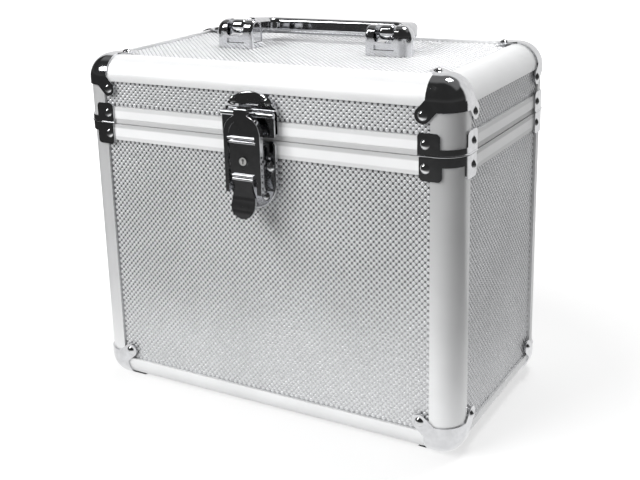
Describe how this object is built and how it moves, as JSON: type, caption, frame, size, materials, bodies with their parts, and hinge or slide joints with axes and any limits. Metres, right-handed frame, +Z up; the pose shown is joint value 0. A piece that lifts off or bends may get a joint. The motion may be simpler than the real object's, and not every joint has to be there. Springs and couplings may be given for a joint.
{
  "type": "hard drive case",
  "caption": "Hard-sided carrying case with dimpled metal panels, metal edge rails, capped corners, a hinged lid, a folding top handle, a keyed draw latch and foam drive slots.",
  "frame": {"origin": "on the floor under the middle of the closed case's bounding box", "axes": "+X to the case's right seen from the front, +Y to the back where the hinges are, +Z up"},
  "size_m": [0.2346, 0.151, 0.215],
  "materials": {
    "dimpled_sheet": "pale silver sheet with small raised dots",
    "edge_aluminium": "satin anodised, lightly drawn along its length",
    "chrome": "bright plated",
    "rivet_chrome": "bright plated dome",
    "pin_steel": "turned steel",
    "foam": "soft dark closed-cell foam"
  },
  "bodies": {
    "case_body": {"back_panel": "dimpled_sheet", "body_columns": "edge_aluminium", "body_corner_plates": "chrome", "body_rim_back": "edge_aluminium", "body_rim_front": "edge_aluminium", "body_rim_left": "edge_aluminium", "body_rim_right": "edge_aluminium", "body_rivets": "rivet_chrome", "bottom_corner_caps": "chrome", "bottom_rail_back": "edge_aluminium", "bottom_rail_front": "edge_aluminium", "bottom_rail_left": "edge_aluminium", "bottom_rail_right": "edge_aluminium", "floor_panel": "dimpled_sheet", "foam_back_strip": "foam", "foam_base_pad": "foam", "foam_dividers": "foam", "foam_front_strip": "foam", "front_panel": "dimpled_sheet", "hinge_body_leaves": "chrome", "hinge_pins": "pin_steel", "latch_base": "chrome", "latch_lever_pin": "pin_steel", "left_panel": "dimpled_sheet", "right_panel": "dimpled_sheet"},
    "lid": {"handle_bracket_left": "chrome", "handle_bracket_right": "chrome", "handle_pins": "pin_steel", "handle_screws": "pin_steel", "hinge_lid_leaves": "chrome", "lid_back_panel": "dimpled_sheet", "lid_columns": "edge_aluminium", "lid_corner_plates": "chrome", "lid_foam_pad": "foam", "lid_front_panel": "dimpled_sheet", "lid_left_panel": "dimpled_sheet", "lid_right_panel": "dimpled_sheet", "lid_rim_back": "edge_aluminium", "lid_rim_front": "edge_aluminium", "lid_rim_left": "edge_aluminium", "lid_rim_right": "edge_aluminium", "lid_rivets": "rivet_chrome", "lid_top_panel": "dimpled_sheet", "strike_plate": "chrome", "top_corner_caps": "chrome", "top_rail_back": "edge_aluminium", "top_rail_front": "edge_aluminium", "top_rail_left": "edge_aluminium", "top_rail_right": "edge_aluminium"},
    "handle": {"handle_bail": "chrome"},
    "latch_lever": {"latch_lever": "chrome", "lock_housing": "chrome"},
    "latch_hook": {"latch_hook": "chrome", "latch_hook_pins": "pin_steel"},
    "lock_plug": {"lock_plug": "chrome"}
  },
  "joints": [
    {"name": "lid_hinge", "type": "hinge", "parent": "case_body", "child": "lid", "pos_m": [0, 0.07295, 0.162], "axis": [-1, 0, 0], "range_deg": [0, 100]},
    {"name": "handle_pivot", "type": "hinge", "parent": "lid", "child": "handle", "pos_m": [0, 0.00405, 0.2108], "axis": [1, 0, 0], "range_deg": [0, 193]},
    {"name": "latch_lever_pivot", "type": "hinge", "parent": "case_body", "child": "latch_lever", "pos_m": [0, -0.06845, 0.163], "axis": [-1, 0, 0], "range_deg": [-8.5, 105]},
    {"name": "latch_hook_pivot", "type": "hinge", "parent": "latch_lever", "child": "latch_hook", "pos_m": [0, -0.07015, 0.1521], "axis": [-1, 0, 0], "range_deg": [-105, 8.5]},
    {"name": "lock_turn", "type": "hinge", "parent": "latch_lever", "child": "lock_plug", "pos_m": [0, -0.06995, 0.152], "axis": [0, 1, 0], "range_deg": [0, 90]}
  ],
  "couplings": [
    {"joint": "latch_hook_pivot", "follows": "latch_lever_pivot", "ratio": -1}
  ]
}
